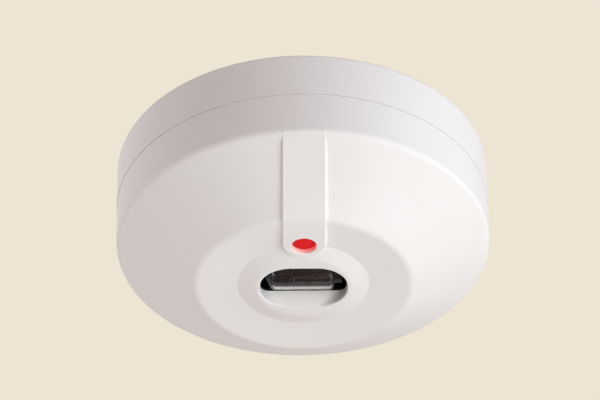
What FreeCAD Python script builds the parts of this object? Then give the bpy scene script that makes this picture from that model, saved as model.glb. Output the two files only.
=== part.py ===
import FreeCAD, Part
import math
import os
import re
import Sketcher

# Ceiling-mounted ultraviolet flame detector, as it hangs. The ceiling is the plane z = 0, the
# body hangs below it, and +Z points up into the ceiling. Depths are measured down from the
# ceiling. The indicator strip is on the -Y side.

# Sizes in millimetres and degrees
SIZES = [
    # Outer form
    ("body_radius", 50.0, "Radius of the base at the ceiling"),
    ("base_height", 13.3, "Height of the mounting base"),
    ("seam_gap", 0.12, "Shadow gap between base and cover"),
    ("cover_inset", 0.1, "How far the cover's wall lies inside the base's"),
    ("wall_height", 12.23, "Height of the cover's upright wall"),
    ("crease_round", 1.8, "Rounding of the turn from wall to cone"),
    ("cone_height", 12.81, "Height of the cone, from that turn to the flat ring"),
    ("ring_radius", 28.8, "Outer radius of the flat ring round the boss"),
    ("ring_round", 3.0, "Rounding of the ring's outer edge"),
    ("ring_dish", 0.76, "How much the ring is dished towards the boss"),
    ("boss_slope", 4.9, "Width of the low boss's sloping side"),
    ("boss_height", 1.4, "Height of the boss above the ring"),
    ("boss_foot_round", 0.6, "Hollow rounding at the boss's foot"),
    ("boss_round", 4.0, "Rounding of the boss's upper turn"),
    ("cover_wall", 2.2, "Wall of the cover"),
    # Window
    ("window_reach", 11.7, "Distance of the window's two ends from the axis"),
    ("window_margin", 0.9, "Flat rim beyond the window's ends"),
    ("window_slope", 2.65, "Width of a sloping side of the window"),
    ("window_end_flat", 0.1, "Straight stretch between the corners at the window's ends"),
    ("window_round", 0.3, "Rounding of the window's rim"),
    ("throat_clearance", 1.5, "Gap at the sides between the window's inner edge and the tube"),
    ("throat_inset", 0.2, "How far the ends of the inner edge lie inside the window's ends"),
    ("throat_corner", 2.5, "Corner radius of the window's inner edge"),
    # Indicator strip
    ("strip_width", 10.8, "Width of the strip's face"),
    ("strip_proud", 1.5, "Height of the strip's level end above the boss's foot"),
    ("strip_start_height", 0.5, "Height above the crease where the strip's face starts"),
    ("strip_rise", 0.7, "Height of the strip above the cone near its start"),
    ("strip_rise_length", 3.0, "Length over which the strip rises to that height"),
    ("strip_bend_reach", 0.4, "How far outside the ring the strip turns level"),
    ("strip_bend_round", 5.0, "Rounding of that turn"),
    ("strip_end_shift", 0.8, "Distance from the indicator to the centre of the round end"),
    ("strip_start_inset", 0.08, "How far the strip's start lies inside the cover's wall"),
    ("strip_draft", 33.0, "Slope of the strip's sides"),
    ("strip_root", 2.1, "How deep the strip is rooted in the cover"),
    # Indicator lamp
    ("lamp_reach", 1.0, "How far outside the boss's foot the indicator lies"),
    ("lamp_bore_radius", 3.3, "Radius of the indicator's hole"),
    ("lamp_bore_round", 0.25, "Rounding of that hole's rim"),
    ("lens_clearance", 0.12, "Gap between the lens and its hole"),
    ("lens_recess", 1.0, "How far the lens sits behind the strip's face"),
    ("lens_round", 0.9, "Rounding of the lens's face"),
    ("lens_flange_reach", 0.8, "How far the lens's flange reaches past its hole"),
    ("lens_flange", 1.2, "Thickness of the lens's flange"),
    ("lens_shoulder", 2.7, "Thickness of the shoulder that the lens's flange sits on"),
    ("lens_collar", 1.3, "Wall of the collar round the lens's flange"),
    ("lens_collar_height", 2.1, "Height of the collar above the shoulder"),
    ("lamp_radius", 2.5, "Radius of the lamp's body"),
    ("lamp_flange_reach", 0.4, "How far the lamp's flange reaches past its body"),
    ("lamp_flange", 1.0, "Thickness of the lamp's flange"),
    ("lamp_length", 8.6, "Length of the lamp"),
    ("lamp_gap", 0.3, "Gap between lamp and lens"),
    ("lamp_leg_spacing", 2.54, "Spacing of the lamp's two legs"),
    ("lamp_leg_width", 0.5, "Width of a lamp leg"),
    ("sleeve_wall", 0.9, "Wall of the sleeve that carries the lamp"),
    # Mounting base
    ("base_plate", 2.4, "Thickness of the base's plate"),
    ("base_wall", 2.6, "Thickness of the base's wall"),
    ("base_edge_round", 1.0, "Rounding of the base's edge at the ceiling"),
    ("fixing_spacing", 66.7, "Distance between the two fixing slots"),
    ("fixing_radius", 2.3, "Half width of a fixing slot"),
    ("fixing_length", 10.0, "Length of a fixing slot, end to end"),
    ("cable_hole_radius", 8.0, "Radius of the cable's hole"),
    ("cable_hole_distance", 33.5, "Distance of the cable's hole from the axis"),
    # Bayonet between base and cover
    ("spigot_clearance", 0.3, "Gap between the cover's spigot and the base's wall"),
    ("spigot_wall", 1.8, "Thickness of the spigot"),
    ("spigot_height", 4.6, "Height of the spigot above the seam"),
    ("spigot_foot", 3.0, "Depth of the spigot's foot below the seam"),
    ("lug_reach", 1.2, "How far a bayonet lug stands out"),
    ("lug_height", 1.6, "Height of a lug"),
    ("lug_lift", 2.2, "Height of a lug above the seam"),
    ("lug_sweep", 14.0, "Angle that a lug covers"),
    ("lug_clearance", 0.2, "Gap round a lug in its groove"),
    ("notch_sweep", 18.0, "Angle of the notch that lets a lug in"),
    ("notch_turn", 26.0, "Turn from a notch to a locked lug"),
    # Circuit board
    ("board_depth", 9.0, "Depth of the board's upper face"),
    ("board_thickness", 1.6, "Thickness of the board"),
    ("board_width", 48.0, "Width of the board"),
    ("board_clearance", 2.3, "Gap between the board's front corners and the spigot"),
    ("board_back", 24.0, "Distance of the board's +Y edge from the axis"),
    ("board_corner", 4.0, "Cut at the board's corners"),
    ("board_screw_side", 3.5, "Distance of the screws from the board's sides"),
    ("board_screw_inset", 5.0, "Distance of the screws from the front and back edges"),
    ("pillar_radius", 3.2, "Radius of the base's pillars"),
    ("screw_radius", 1.4, "Radius of a screw's shank"),
    ("screw_clearance", 0.1, "Gap round a screw's shank"),
    ("screw_grip", 5.0, "Length of a screw beyond the board"),
    ("screw_head_radius", 2.7, "Radius of a screw's head"),
    ("screw_head", 1.9, "Height of a screw's head"),
    ("recess_width", 0.7, "Width of the cross in a screw's head"),
    ("recess_length", 3.2, "Length of that cross"),
    ("recess_depth", 1.0, "Depth of that cross"),
    # Sensor tube
    ("tube_recess", 0.6, "Distance of the tube behind the window's rim"),
    ("tube_radius", 4.5, "Outer radius of the sensor tube"),
    ("tube_wall", 0.6, "Glass thickness"),
    ("tube_right", 8.2, "End of the bulb on the +X side"),
    ("tube_left", 8.4, "Start of the bulb's taper on the -X side"),
    ("tube_taper", 2.4, "Length of the bulb's taper"),
    ("tube_tip", 0.6, "Length of the pinched tip"),
    ("tube_tip_radius", 0.9, "Radius of the pinched tip"),
    ("tube_left_round", 2.0, "Rounding where the taper starts"),
    ("tube_right_round", 1.2, "Rounding of the bulb's end on the +X side"),
    ("stem_radius", 2.8, "Radius of the glass stem"),
    ("stem_length", 3.6, "Length of the glass stem"),
    ("stem_inside", 1.0, "How far the stem reaches into the bulb"),
    ("stem_clearance", 0.02, "Gap between stem and bulb"),
    ("lead_radius", 0.3, "Radius of a tube lead"),
    ("lead_spacing", 2.6, "Distance between the two tube leads"),
    ("lead_run", 0.9, "Straight run of a lead before it turns up"),
    ("cathode_drop", 1.6, "Place of the cathode below the tube's axis"),
    ("cathode_thickness", 0.3, "Thickness of the cathode"),
    ("cathode_width", 5.8, "Width of the cathode"),
    ("cathode_left", 3.4, "End of the cathode on the -X side"),
    ("cathode_right", 6.0, "End of the cathode on the +X side"),
    ("cathode_curl", 0.45, "Radius of the cathode's curled edge"),
    ("cathode_support_radius", 0.3, "Radius of the cathode's support wire"),
    ("anode_drop", 2.3, "Place of the anode wires below the tube's axis"),
    ("anode_left", 2.6, "End of the anode on the -X side"),
    ("anode_spacing", 2.0, "Distance between the anode's long wires"),
    ("anode_radius", 0.2, "Radius of the anode's wires"),
    # Holder of the sensor tube
    ("holder_end", 3.6, "Thickness of the holder's end walls"),
    ("holder_end_gap", 0.4, "Gap between the holder's end walls and the tube or its leads"),
    ("holder_side", 1.0, "Thickness of the holder's side walls"),
    ("holder_side_gap", 0.8, "Gap between tube and side wall"),
    ("holder_floor", 1.6, "Thickness of the trough's floor"),
    ("holder_floor_gap", 0.4, "Gap between tube and trough floor"),
    ("holder_window_gap", 0.3, "Gap between the holder and the window's frame"),
    ("saddle_width", 1.4, "Thickness of a saddle"),
    ("saddle_place", 5.6, "Distance of the saddles from the middle"),
    ("saddle_height", 2.4, "Height of a saddle"),
    ("saddle_clearance", 0.05, "Gap between a saddle and the tube"),
    ("holder_screw_radius", 1.0, "Radius of a holder screw's shank"),
    ("holder_screw_grip", 6.0, "Length of a holder screw beyond the board"),
    ("holder_screw_head_radius", 1.9, "Radius of a holder screw's head"),
    ("holder_screw_head", 1.4, "Height of a holder screw's head"),
    ("holder_recess_length", 2.2, "Length of the cross in a holder screw's head"),
    # Parts on the board
    ("terminal_pitch", 5.0, "Spacing of the terminals"),
    ("terminal_length", 8.0, "Depth of the terminal block, front to back"),
    ("terminal_height", 10.0, "Height of the terminal block"),
    ("terminal_inset", 2.0, "Distance of the block from the board's back edge"),
    ("terminal_well_radius", 1.95, "Radius of a terminal's screw well"),
    ("terminal_well", 4.5, "Depth of a screw well"),
    ("terminal_entry_width", 3.6, "Width of a wire entry"),
    ("terminal_entry_height", 3.2, "Height of a wire entry"),
    ("terminal_entry_depth", 5.6, "Depth of a wire entry"),
    ("terminal_screw_radius", 1.7, "Radius of a terminal screw"),
    ("terminal_screw", 2.6, "Height of a terminal screw"),
    ("terminal_slot", 0.6, "Width of the slot in a terminal screw"),
    ("clamp_thickness", 0.8, "Thickness of a terminal's clamp plate"),
    ("clamp_length", 4.0, "Length of a terminal's clamp plate"),
    ("clamp_clearance", 0.1, "Gap at the sides of a clamp plate"),
    ("relay_length", 12.5, "Length of the relay"),
    ("relay_width", 7.5, "Width of the relay"),
    ("relay_height", 10.0, "Height of the relay"),
    ("relay_across", -14.0, "Sideways place of the relay"),
    ("relay_along", -20.0, "Place of the relay, front to back"),
    ("relay_round", 0.6, "Rounding of the relay's case"),
    ("core_width", 12.0, "Width of the transformer's core"),
    ("core_length", 5.0, "Thickness of the transformer's core"),
    ("core_height", 12.0, "Height of the transformer's core"),
    ("core_limb", 2.4, "Limb of the transformer's core"),
    ("winding_length", 9.6, "Length of the winding, front to back"),
    ("winding_gap", 0.1, "Gap between winding and core"),
    ("converter_across", 15.0, "Sideways place of the transformer"),
    ("converter_along", -16.5, "Place of the transformer, front to back"),
    ("can_radius", 4.0, "Radius of an electrolytic capacitor"),
    ("can_height", 11.0, "Height of an electrolytic capacitor"),
    ("can_round", 0.5, "Rounding of a capacitor's rim"),
    ("can_along", -27.2, "Place of the electrolytic capacitors"),
    ("can_first", -2.5, "Sideways place of the first capacitor"),
    ("can_spacing", 11.0, "Distance between the capacitors"),
    ("film_length", 12.0, "Length of the film capacitor"),
    ("film_width", 5.0, "Width of the film capacitor"),
    ("film_height", 9.5, "Height of the film capacitor"),
    ("film_across", -13.5, "Sideways place of the film capacitor"),
    ("film_along", -12.0, "Place of the film capacitor"),
    ("chip_width", 3.9, "Width of the controller chip"),
    ("chip_length", 8.7, "Length of the controller chip"),
    ("chip_height", 1.5, "Height of the controller chip"),
    ("chip_lift", 0.2, "Gap under the controller chip"),
    ("chip_gap", 0.8, "Gap between the chip's legs and the holder"),
    ("chip_along", 4.0, "Place of the controller chip"),
    ("chip_leg_pitch", 1.27, "Spacing of the chip's legs"),
    ("chip_leg_width", 0.42, "Width of a chip leg"),
    ("chip_leg_reach", 1.05, "How far a leg stands out"),
    ("chip_leg_height", 0.9, "Height of a leg where it meets the chip"),
    ("chip_leg_foot", 0.25, "Thickness of a leg"),
    ("resistor_length", 3.2, "Length of a chip resistor"),
    ("resistor_width", 1.6, "Width of a chip resistor"),
    ("resistor_height", 0.6, "Height of a chip resistor"),
    ("resistor_gap", 2.5, "Gap between the resistors and the holder"),
    ("resistor_first", -6.0, "Place of the first resistor"),
    ("resistor_pitch", 3.0, "Spacing of the resistors"),
    ("absorber_radius", 3.5, "Radius of the surge absorber"),
    ("absorber_thickness", 3.4, "Thickness of the surge absorber"),
    ("absorber_inset", 4.0, "Distance of the surge absorber from the board's side"),
    ("absorber_gap", 7.0, "Distance from the surge absorber to the back screw"),
    ("absorber_lift", 1.2, "Height of the surge absorber above the board"),
    ("absorber_leg_radius", 0.3, "Radius of the surge absorber's legs"),
    ("absorber_leg_spacing", 4.0, "Distance between those legs"),
    ("header_pitch", 2.54, "Spacing of the jumper's pins"),
    ("header_height", 2.5, "Height of the jumper's base"),
    ("header_pin", 0.64, "Width of a jumper pin"),
    ("header_pin_height", 8.0, "Height of a jumper pin above the board"),
    ("header_gap", 2.5, "Gap between the jumper and the terminal block"),
    ("jumper_height", 5.2, "Height of the jumper cap"),
    ("jumper_clearance", 0.05, "Gap between jumper cap and pins"),
]

COVER = "main_cover"
BAYONET_LUGS = 3
TERMINALS = 6
RESISTORS = 5
CHIP_LEGS_A_SIDE = 7
CAPACITORS = 2
HEADER_PINS = 3
# Two lengths closer than this count as equal
NEAR = 0.01

# Depths below the ceiling, as formulas of the sizes
SEAM = "(-base_height - seam_gap)"
CREASE_DEPTH = "(base_height + seam_gap + wall_height)"
RING_DEPTH = f"({CREASE_DEPTH} + cone_height)"
BOSS_FOOT_DEPTH = f"({RING_DEPTH} - ring_dish)"
RIM_DEPTH = f"({BOSS_FOOT_DEPTH} + boss_height)"
STRIP_DEPTH = f"({BOSS_FOOT_DEPTH} + strip_proud)"
LENS_SEAT_DEPTH = f"({STRIP_DEPTH} - lens_shoulder)"
LENS_COLLAR_DEPTH = f"({LENS_SEAT_DEPTH} - lens_collar_height)"
COVER_FLOOR = f"(cover_wall - {BOSS_FOOT_DEPTH})"
TUBE_AXIS = f"(tube_recess + tube_radius - {RIM_DEPTH})"
BOARD_TOP = "(-board_depth)"
BOARD_FACE = "(-board_depth - board_thickness)"

# Radii and half widths
COVER_RADIUS = "(body_radius - cover_inset)"
BOSS_FLAT_RADIUS = "(window_reach + window_margin)"
BOSS_RADIUS = f"({BOSS_FLAT_RADIUS} + boss_slope)"
THROAT_HALF = "(tube_radius + throat_clearance)"
WINDOW_HALF = f"({THROAT_HALF} + window_slope)"
SPIGOT_RADIUS = "(body_radius - base_wall - spigot_clearance)"
SPIGOT_INNER = f"({SPIGOT_RADIUS} - spigot_wall)"
LENS_FLANGE_RADIUS = "(lamp_bore_radius + lens_flange_reach)"
LAMP_FLANGE_RADIUS = "(lamp_radius + lamp_flange_reach)"
HOLDER_INSIDE = "(tube_radius + holder_side_gap)"

STRIP_FOOT = "(strip_width / 2 + strip_root * tan(strip_draft))"

# Places
CONE_SLOPE = f"atan(cone_height / ({COVER_RADIUS} - ring_radius))"
LAMP_DISTANCE = f"({BOSS_RADIUS} + lamp_reach)"
STRIP_BEND = "(ring_radius + strip_bend_reach)"
STRIP_END = f"({LAMP_DISTANCE} + strip_end_shift)"
STEM_START = "(tube_right - tube_wall - stem_inside)"
STEM_END = f"({STEM_START} + stem_length)"
TUBE_TIP_REACH = "(tube_left + tube_taper + tube_tip)"
LEAD_REACH = f"({STEM_END} + lead_run + lead_radius)"
HOLDER_REACH = f"(max({TUBE_TIP_REACH}; {LEAD_REACH}) + holder_end_gap)"
HOLDER_SCREW = f"({HOLDER_REACH} + holder_end / 2)"
HOLDER_OUTSIDE = f"({HOLDER_REACH} + holder_end)"
SIDE_SCREW = "(board_width / 2 - board_screw_side)"
CHIP_ACROSS = f"({HOLDER_OUTSIDE} + chip_gap + chip_leg_reach + chip_width / 2)"
RESISTOR_ACROSS = f"(-{HOLDER_OUTSIDE} - resistor_gap - resistor_length / 2)"
ABSORBER_ACROSS = "(absorber_inset - board_width / 2)"
BOARD_FRONT = f"(sqrt(({SPIGOT_INNER} - board_clearance)^2 - (board_width / 2 - board_corner)^2))"
FRONT_SCREW = f"(board_screw_inset - {BOARD_FRONT})"
BACK_SCREW = "(board_back - board_screw_inset)"
TERMINAL_BACK = "(board_back - terminal_inset)"
HEADER_ALONG = f"({TERMINAL_BACK} - terminal_length - header_gap - header_pitch / 2)"

document = FreeCAD.newDocument("flame_detector")
sheet = document.addObject("Spreadsheet::Sheet", "Sizes")
for row, (alias, length, meaning) in enumerate(SIZES, start=1):
    sheet.set(f"A{row}", meaning)
    sheet.set(f"B{row}", str(length))
    sheet.setAlias(f"B{row}", alias)
document.recompute()

ALIASES = {alias for alias, length, meaning in SIZES}
sub_parts = []


def bound(formula):
    """The formula with each size's name tied to its cell."""

    def with_cell(word):
        return f"Sizes.{word[0]}" if word[0] in ALIASES else word[0]

    return re.sub(r"[a-z_]+", with_cell, formula)


def tie(item, prop, formula):
    """Ties a property of an object to a formula of the sizes."""
    item.setExpression(prop, bound(str(formula)))


PROBE = document.addObject("App::FeaturePython", "Probe")
PROBE.addProperty("App::PropertyFloat", "Reading")


def value(formula):
    """The present value of a formula, in millimetres."""
    tie(PROBE, "Reading", formula)
    PROBE.recompute()
    return PROBE.Reading


def keep(item, name):
    """Makes an object one of the sub-parts."""
    item.Label = name
    sub_parts.append(item)
    return item


# Helpers for bodies made from sketches


def new_body(name):
    return keep(document.addObject("PartDesign::Body", name), name)


def new_sketch(body, name, role, offset="0"):
    """A sketch on one of the body's own planes, moved along the plane's normal."""
    drawing = body.newObject("Sketcher::SketchObject", name)
    plane = next(item for item in body.Origin.OriginFeatures if item.Role == role)
    drawing.AttachmentSupport = [(plane, "")]
    drawing.MapMode = "FlatFace"
    tie(drawing, "AttachmentOffset.Base.z", offset)
    return drawing


def hold(drawing, kind, element, point, formula):
    """Holds a point of a sketch at a distance from the sketch's origin."""
    distance = value(formula)
    number = drawing.addConstraint(Sketcher.Constraint(kind, -1, 1, element, point, distance))
    tie(drawing, f"Constraints[{number}]", formula)


def polygon(drawing, corners):
    """A closed outline through corners that are given as pairs of formulas."""
    first = drawing.GeometryCount
    count = len(corners)
    turns = [2 * math.pi * number / count for number in range(count)]
    ring = [FreeCAD.Vector(math.cos(turn), math.sin(turn), 0) for turn in turns]
    for number in range(count):
        drawing.addGeometry(Part.LineSegment(ring[number], ring[(number + 1) % count]), False)
    for number in range(count):
        following = first + (number + 1) % count
        drawing.addConstraint(Sketcher.Constraint("Coincident", first + number, 2, following, 1))
    for number, (across, along) in enumerate(corners):
        hold(drawing, "DistanceX", first + number, 1, across)
        hold(drawing, "DistanceY", first + number, 1, along)


def rectangle(drawing, low_across, low_along, high_across, high_along):
    polygon(
        drawing,
        [
            (low_across, low_along),
            (high_across, low_along),
            (high_across, high_along),
            (low_across, high_along),
        ],
    )


def circle(drawing, across, along, radius):
    start = Part.Circle(FreeCAD.Vector(0, 0, 0), FreeCAD.Vector(0, 0, 1), 1)
    element = drawing.addGeometry(start, False)
    hold(drawing, "DistanceX", element, 3, across)
    hold(drawing, "DistanceY", element, 3, along)
    number = drawing.addConstraint(Sketcher.Constraint("Radius", element, 1.0))
    tie(drawing, f"Constraints[{number}]", radius)


def rounded_outline(drawing, half_length, half_width, corner):
    """A closed outline of four sides and four round corners, centred on the sketch's origin."""
    length, width, radius = (value(formula) for formula in (half_length, half_width, corner))
    inner_length, inner_width = f"({half_length} - ({corner}))", f"({half_width} - ({corner}))"
    # Each corner's signs, and the first and last point of the side that follows it
    corners = [
        (1, 1, (inner_length, half_width), (f"-{inner_length}", half_width)),
        (-1, 1, (f"-({half_length})", inner_width), (f"-({half_length})", f"-{inner_width}")),
        (-1, -1, (f"-{inner_length}", f"-({half_width})"), (inner_length, f"-({half_width})")),
        (1, -1, (half_length, f"-{inner_width}"), (half_length, inner_width)),
    ]
    up = FreeCAD.Vector(0, 0, 1)
    arcs = []
    sides = []
    for number, (across, along, first, last) in enumerate(corners):
        middle = FreeCAD.Vector(across * (length - radius), along * (width - radius), 0)
        turn = number * math.pi / 2
        arc = Part.ArcOfCircle(Part.Circle(middle, up, radius), turn, turn + math.pi / 2)
        arcs.append(drawing.addGeometry(arc, False))
        ends = [FreeCAD.Vector(*(value(formula) for formula in point), 0) for point in (first, last)]
        sides.append(drawing.addGeometry(Part.LineSegment(*ends), False))
    for number, (across, along, first, last) in enumerate(corners):
        following = arcs[(number + 1) % len(arcs)]
        drawing.addConstraint(Sketcher.Constraint("Coincident", arcs[number], 2, sides[number], 1))
        drawing.addConstraint(Sketcher.Constraint("Coincident", sides[number], 2, following, 1))
        for point, (place_across, place_along) in enumerate((first, last), start=1):
            hold(drawing, "DistanceX", sides[number], point, place_across)
            hold(drawing, "DistanceY", sides[number], point, place_along)
        sign = "-" if across < 0 else ""
        hold(drawing, "DistanceX", arcs[number], 3, f"{sign}{inner_length}")


def new_feature(body, kind, name):
    """A feature that merges faces, but not on the cover, where merged faces lose material."""
    feature = body.newObject(f"PartDesign::{kind}", name)
    feature.Refine = body.Name != COVER
    return feature


def extrude(body, kind, drawing, length, towards_back=False, both_ways=False):
    """A pad or pocket of a sketch, with its direction set."""
    feature = new_feature(body, kind, drawing.Name + kind)
    feature.Profile = drawing
    tie(feature, "Length", length)
    feature.Reversed = towards_back
    feature.Midplane = both_ways
    return feature


def revolve(body, kind, drawing, axis="V_Axis", angle="360", both_ways=False):
    """A revolution or groove of a sketch about one of its own axes."""
    feature = new_feature(body, kind, drawing.Name + kind)
    feature.Profile = drawing
    feature.ReferenceAxis = (drawing, [axis])
    tie(feature, "Angle", angle)
    feature.Midplane = both_ways
    return feature


def round_polar(body, feature, count):
    """Repeats a feature evenly round the body's upright axis."""
    pattern = new_feature(body, "PolarPattern", feature.Name + "Round")
    pattern.Originals = [feature]
    axis = next(item for item in body.Origin.OriginFeatures if item.Role == "Z_Axis")
    pattern.Axis = (axis, [""])
    pattern.Angle = 360
    pattern.Occurrences = count
    body.Tip = pattern
    return pattern


def fillet(body, name, wanted, radius):
    """Rounds the edges of the body's last feature that pass a test."""
    document.recompute()
    base = body.Tip
    names = [f"Edge{n}" for n, edge in enumerate(base.Shape.Edges, start=1) if wanted(edge)]
    if not names:
        raise RuntimeError(f"{body.Label}: no edge found for {name}")
    feature = new_feature(body, "Fillet", name)
    feature.Base = (base, names)
    tie(feature, "Radius", radius)
    return feature


def is_ring(radius, height, across="0", along="0"):
    """Tests whether an edge is a level circle about an upright axis."""
    ring, level, middle_x, middle_y = (value(formula) for formula in (radius, height, across, along))

    def test(edge):
        box = edge.BoundBox
        is_level = abs(box.ZMin - level) < NEAR and abs(box.ZMax - level) < NEAR
        reach = max(math.hypot(vertex.X - middle_x, vertex.Y - middle_y) for vertex in edge.Vertexes)
        is_round = isinstance(edge.Curve, Part.Circle) and abs(edge.Curve.Radius - ring) < NEAR
        return is_level and is_round and abs(reach - ring) < NEAR

    return test


# Helpers for pieces made from plain solids


def place(item, spot):
    for letter, formula in zip("xyz", spot):
        tie(item, f"Placement.Base.{letter}", formula)
    return item


def block(name, low, lengths):
    """A box with its lowest corner and its three lengths."""
    item = document.addObject("Part::Box", name)
    for prop, formula in zip(("Length", "Width", "Height"), lengths):
        tie(item, prop, formula)
    return place(item, low)


def centred_block(name, across, along, low, width, depth, height):
    """A box that is centred across and along, and starts at a height."""
    corner = (f"({across}) - ({width}) / 2", f"({along}) - ({depth}) / 2", low)
    return block(name, corner, (width, depth, height))


def rod(name, radius, length, spot, axis=None):
    """A cylinder from a spot, upwards or along another axis."""
    item = document.addObject("Part::Cylinder", name)
    tie(item, "Radius", radius)
    tie(item, "Height", length)
    if axis:
        item.Placement.Rotation = FreeCAD.Rotation(FreeCAD.Vector(0, 0, 1), FreeCAD.Vector(*axis))
    return place(item, spot)


def cut(name, base, tool):
    item = document.addObject("Part::Cut", name)
    item.Base = base
    item.Tool = tool
    return item


def fuse(name, items):
    item = document.addObject("Part::MultiFuse", name)
    item.Shapes = items
    item.Refine = True
    return item


def group(name, items):
    """Separate solids that share one node."""
    item = document.addObject("Part::Compound", name)
    item.Links = items
    return keep(item, name)


def hang(height):
    """The lower end of a piece of this height under the board."""
    return f"{BOARD_FACE} - ({height})"


# Mounting base


def make_mounting_base():
    """Round dish that is screwed to the ceiling, with pillars for the board."""
    body = new_body("mounting_base")
    section = new_sketch(body, "base_section", "XZ_Plane")
    polygon(
        section,
        [
            ("0", "0"),
            ("body_radius", "0"),
            ("body_radius", "-base_height"),
            ("body_radius - base_wall", "-base_height"),
            ("body_radius - base_wall", "-base_plate"),
            ("0", "-base_plate"),
        ],
    )
    revolve(body, "Revolution", section)
    fillet(body, "base_edge", is_ring("body_radius", "0"), "base_edge_round")

    pillars = new_sketch(body, "base_pillars", "XY_Plane", BOARD_TOP)
    bores = new_sketch(body, "pillar_bores", "XY_Plane", BOARD_TOP)
    for across in (SIDE_SCREW, f"-{SIDE_SCREW}"):
        for along in (FRONT_SCREW, BACK_SCREW):
            circle(pillars, across, along, "pillar_radius")
            circle(bores, across, along, "screw_radius + screw_clearance")
    extrude(body, "Pad", pillars, "board_depth - base_plate / 2")
    extrude(body, "Pocket", bores, "screw_grip + screw_clearance", towards_back=True)

    slot_ends = new_sketch(body, "fixing_slot_ends", "XY_Plane")
    slot_middles = new_sketch(body, "fixing_slot_middles", "XY_Plane")
    half_straight = "(fixing_length / 2 - fixing_radius)"
    for side in ("-", ""):
        middle = f"{side}fixing_spacing / 2"
        circle(slot_ends, f"{middle} - {half_straight}", "0", "fixing_radius")
        circle(slot_ends, f"{middle} + {half_straight}", "0", "fixing_radius")
        rectangle(
            slot_middles,
            f"{middle} - {half_straight}",
            "-fixing_radius",
            f"{middle} + {half_straight}",
            "fixing_radius",
        )
    extrude(body, "Pocket", slot_ends, "base_plate * 2", both_ways=True)
    extrude(body, "Pocket", slot_middles, "base_plate * 2", both_ways=True)

    cable_hole = new_sketch(body, "cable_hole", "XY_Plane")
    circle(cable_hole, "0", "cable_hole_distance", "cable_hole_radius")
    extrude(body, "Pocket", cable_hole, "base_plate * 2", both_ways=True)

    groove_radius = f"{SPIGOT_RADIUS} + lug_reach + lug_clearance"
    groove_floor = f"{SEAM} + lug_lift - lug_clearance"
    lug_groove = new_sketch(body, "lug_groove", "XZ_Plane")
    rectangle(
        lug_groove,
        "body_radius - base_wall - lug_clearance",
        groove_floor,
        groove_radius,
        f"{groove_floor} + lug_height + 2 * lug_clearance",
    )
    revolve(body, "Groove", lug_groove)

    notch = new_sketch(body, "lug_notch", "XZ_Plane")
    rectangle(
        notch,
        "body_radius - base_wall - lug_clearance",
        "-base_height - lug_clearance",
        groove_radius,
        f"{groove_floor} + lug_clearance",
    )
    tie(notch, "AttachmentOffset.Rotation.Pitch", "notch_turn")
    notch_cut = revolve(body, "Groove", notch, angle="notch_sweep", both_ways=True)
    round_polar(body, notch_cut, BAYONET_LUGS)
    return body


# Cover


def inner_offset(turn):
    """Distance that an inner corner moves along its line when the wall is set off."""
    return f"cover_wall * tan(({turn}) / 2)"


def make_main_cover():
    """One moulding: wall, cone, ring, boss, window, strip and the indicator's hole."""
    body = new_body(COVER)
    foot = f"({SEAM} - spigot_foot)"
    inner_radius = f"({COVER_RADIUS} - cover_wall)"
    section = new_sketch(body, "cover_section", "XZ_Plane")
    polygon(
        section,
        [
            (COVER_RADIUS, SEAM),
            (COVER_RADIUS, f"-{CREASE_DEPTH}"),
            ("ring_radius", f"-{RING_DEPTH}"),
            (BOSS_RADIUS, f"-{BOSS_FOOT_DEPTH}"),
            (BOSS_FLAT_RADIUS, f"-{RIM_DEPTH}"),
            ("0", f"-{RIM_DEPTH}"),
            ("0", COVER_FLOOR),
            (BOSS_RADIUS, COVER_FLOOR),
            (f"ring_radius - {inner_offset(CONE_SLOPE)}", f"cover_wall - {RING_DEPTH}"),
            (inner_radius, f"{inner_offset(f'90 deg - {CONE_SLOPE}')} - {CREASE_DEPTH}"),
            (inner_radius, f"{foot} - spigot_foot / 2"),
            (SPIGOT_INNER, foot),
            (SPIGOT_INNER, f"{SEAM} + spigot_height"),
            (SPIGOT_RADIUS, f"{SEAM} + spigot_height"),
            (SPIGOT_RADIUS, SEAM),
        ],
    )
    revolve(body, "Revolution", section)
    crease = is_ring(COVER_RADIUS, f"-{CREASE_DEPTH}")
    fillet(body, "crease_edge", crease, "crease_round")
    ring_edge = is_ring("ring_radius", f"-{RING_DEPTH}")
    fillet(body, "ring_edge", ring_edge, "ring_round")
    boss_foot = is_ring(BOSS_RADIUS, f"-{BOSS_FOOT_DEPTH}")
    fillet(body, "boss_foot_edge", boss_foot, "boss_foot_round")
    boss_turn = is_ring(BOSS_FLAT_RADIUS, f"-{RIM_DEPTH}")
    fillet(body, "boss_edge", boss_turn, "boss_round")

    make_window(body)
    make_strip(body)
    make_lamp_seat(body)
    make_lugs(body)
    return body


def combine(body, name, kind, tool):
    """Cuts a body of its own out of the piece, or fuses it with it."""
    document.recompute()
    feature = new_feature(body, "Boolean", name)
    feature.setObjects([tool])
    feature.Type = kind
    body.Tip = feature


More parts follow.
